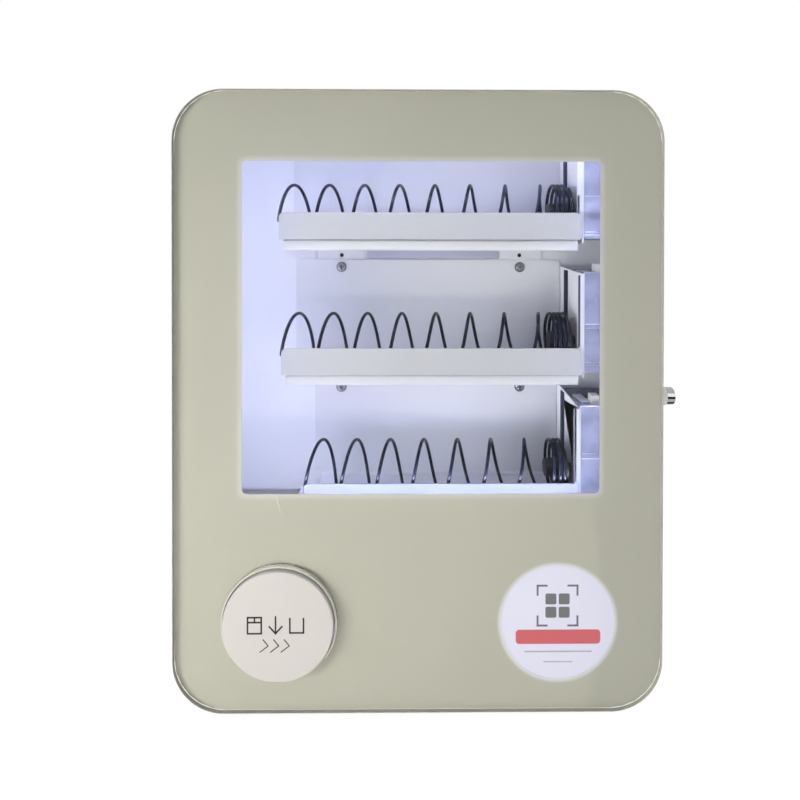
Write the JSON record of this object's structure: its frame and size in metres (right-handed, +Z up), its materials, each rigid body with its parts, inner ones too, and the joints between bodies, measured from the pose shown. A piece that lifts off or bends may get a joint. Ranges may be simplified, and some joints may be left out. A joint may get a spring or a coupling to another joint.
{
  "type": "counter vending machine",
  "caption": "Slim counter or wall vending machine with a round-cornered glass door, lit window, wire spiral trays, a round push flap, a lit round label and a side lock.",
  "frame": {"origin": "centre of the cabinet's flat back face, where it meets a wall", "axes": "+X to the machine's right seen from the front, +Y to the back, +Z up"},
  "size_m": [0.4174, 0.1335, 0.5123],
  "materials": {
    "clear_glass": "polished",
    "champagne_paint": "gloss",
    "white_steel": "satin",
    "white_plastic": "satin",
    "lit_white": "satin",
    "black_wire": "gloss",
    "black_plastic": "satin",
    "galvanised": "brushed",
    "bare_steel": "satin",
    "chrome": "polished",
    "cream_plastic": "satin",
    "rubber": "matt",
    "grey_plastic": "satin",
    "board_green": "satin"
  },
  "bodies": {
    "cabinet": {"cabinet_shell": "white_steel", "back_panel": "white_steel", "inner_panel": "white_steel", "wire_clip": "grey_plastic", "rubber_foot_front_left": "rubber", "rubber_foot_rear_left": "rubber", "rubber_foot_front_right": "rubber", "rubber_foot_rear_right": "rubber", "deck": "white_steel", "pickup_bin": "white_steel", "hinge_leaf_cabinet": "bare_steel", "hinge_pin": "bare_steel", "power_supply": "black_plastic", "control_board": "board_green", "dc_inlet": "black_plastic", "lock_body": "chrome", "lock_nut": "bare_steel", "tray_top": "white_steel", "tray_screw_top_left": "bare_steel", "tray_screw_top_right": "bare_steel", "guard_top": "white_steel", "motor_plate_top": "white_steel", "motor_can_top": "galvanised", "gear_motor_top": "cream_plastic", "tray_middle": "white_steel", "tray_screw_middle_left": "bare_steel", "tray_screw_middle_right": "bare_steel", "guard_middle": "white_steel", "motor_plate_middle": "white_steel", "motor_can_middle": "galvanised", "gear_motor_middle": "cream_plastic", "tray_bottom": "white_steel", "tray_screw_bottom_left": "bare_steel", "tray_screw_bottom_right": "bare_steel", "guard_bottom": "white_steel", "motor_plate_bottom": "white_steel", "motor_can_bottom": "galvanised", "gear_motor_bottom": "cream_plastic"},
    "door": {"glass_panel": "clear_glass", "mask_film": "champagne_paint", "door_pan": "white_steel", "strike_bracket": "bare_steel", "door_gasket": "rubber", "led_frame": "lit_white", "label_disc": "lit_white", "label_holder": "white_plastic", "label_light": "lit_white", "flap_frame": "white_plastic", "flap_pin": "bare_steel", "hinge_leaf_door": "bare_steel"},
    "flap": {"flap_disc": "white_plastic", "flap_spring": "bare_steel"},
    "lock_core": {"lock_plug": "chrome", "lock_cam": "bare_steel"},
    "top_spiral": {"spiral_top": "black_wire", "drive_hub_top": "black_plastic"},
    "middle_spiral": {"spiral_middle": "black_wire", "drive_hub_middle": "black_plastic"},
    "bottom_spiral": {"spiral_bottom": "black_wire", "drive_hub_bottom": "black_plastic"}
  },
  "joints": [
    {"name": "door_hinge", "type": "hinge", "parent": "cabinet", "child": "door", "pos_m": [-0.1989, -0.122, 0], "axis": [0, 0, -1], "range_deg": [0, 105]},
    {"name": "flap_hinge", "type": "hinge", "parent": "door", "child": "flap", "pos_m": [-0.1135, -0.116, -0.143], "axis": [1, 0, 0], "range_deg": [0, 65], "stiffness_Nm_per_rad": 0.02, "springref_deg": -28.65},
    {"name": "lock_turn", "type": "hinge", "parent": "cabinet", "child": "lock_core", "pos_m": [0.2162, -0.11, 0], "axis": [1, 0, 0], "range_deg": [0, 90]},
    {"name": "top_spiral_turn", "type": "hinge", "parent": "cabinet", "child": "top_spiral", "pos_m": [0.1431, -0.069, 0.159], "axis": [-1, 0, 0], "continuous": true},
    {"name": "middle_spiral_turn", "type": "hinge", "parent": "cabinet", "child": "middle_spiral", "pos_m": [0.144, -0.069, 0.041], "axis": [-1, 0, 0], "continuous": true},
    {"name": "bottom_spiral_turn", "type": "hinge", "parent": "cabinet", "child": "bottom_spiral", "pos_m": [0.141, -0.069, -0.077], "axis": [-1, 0, 0], "continuous": true}
  ]
}
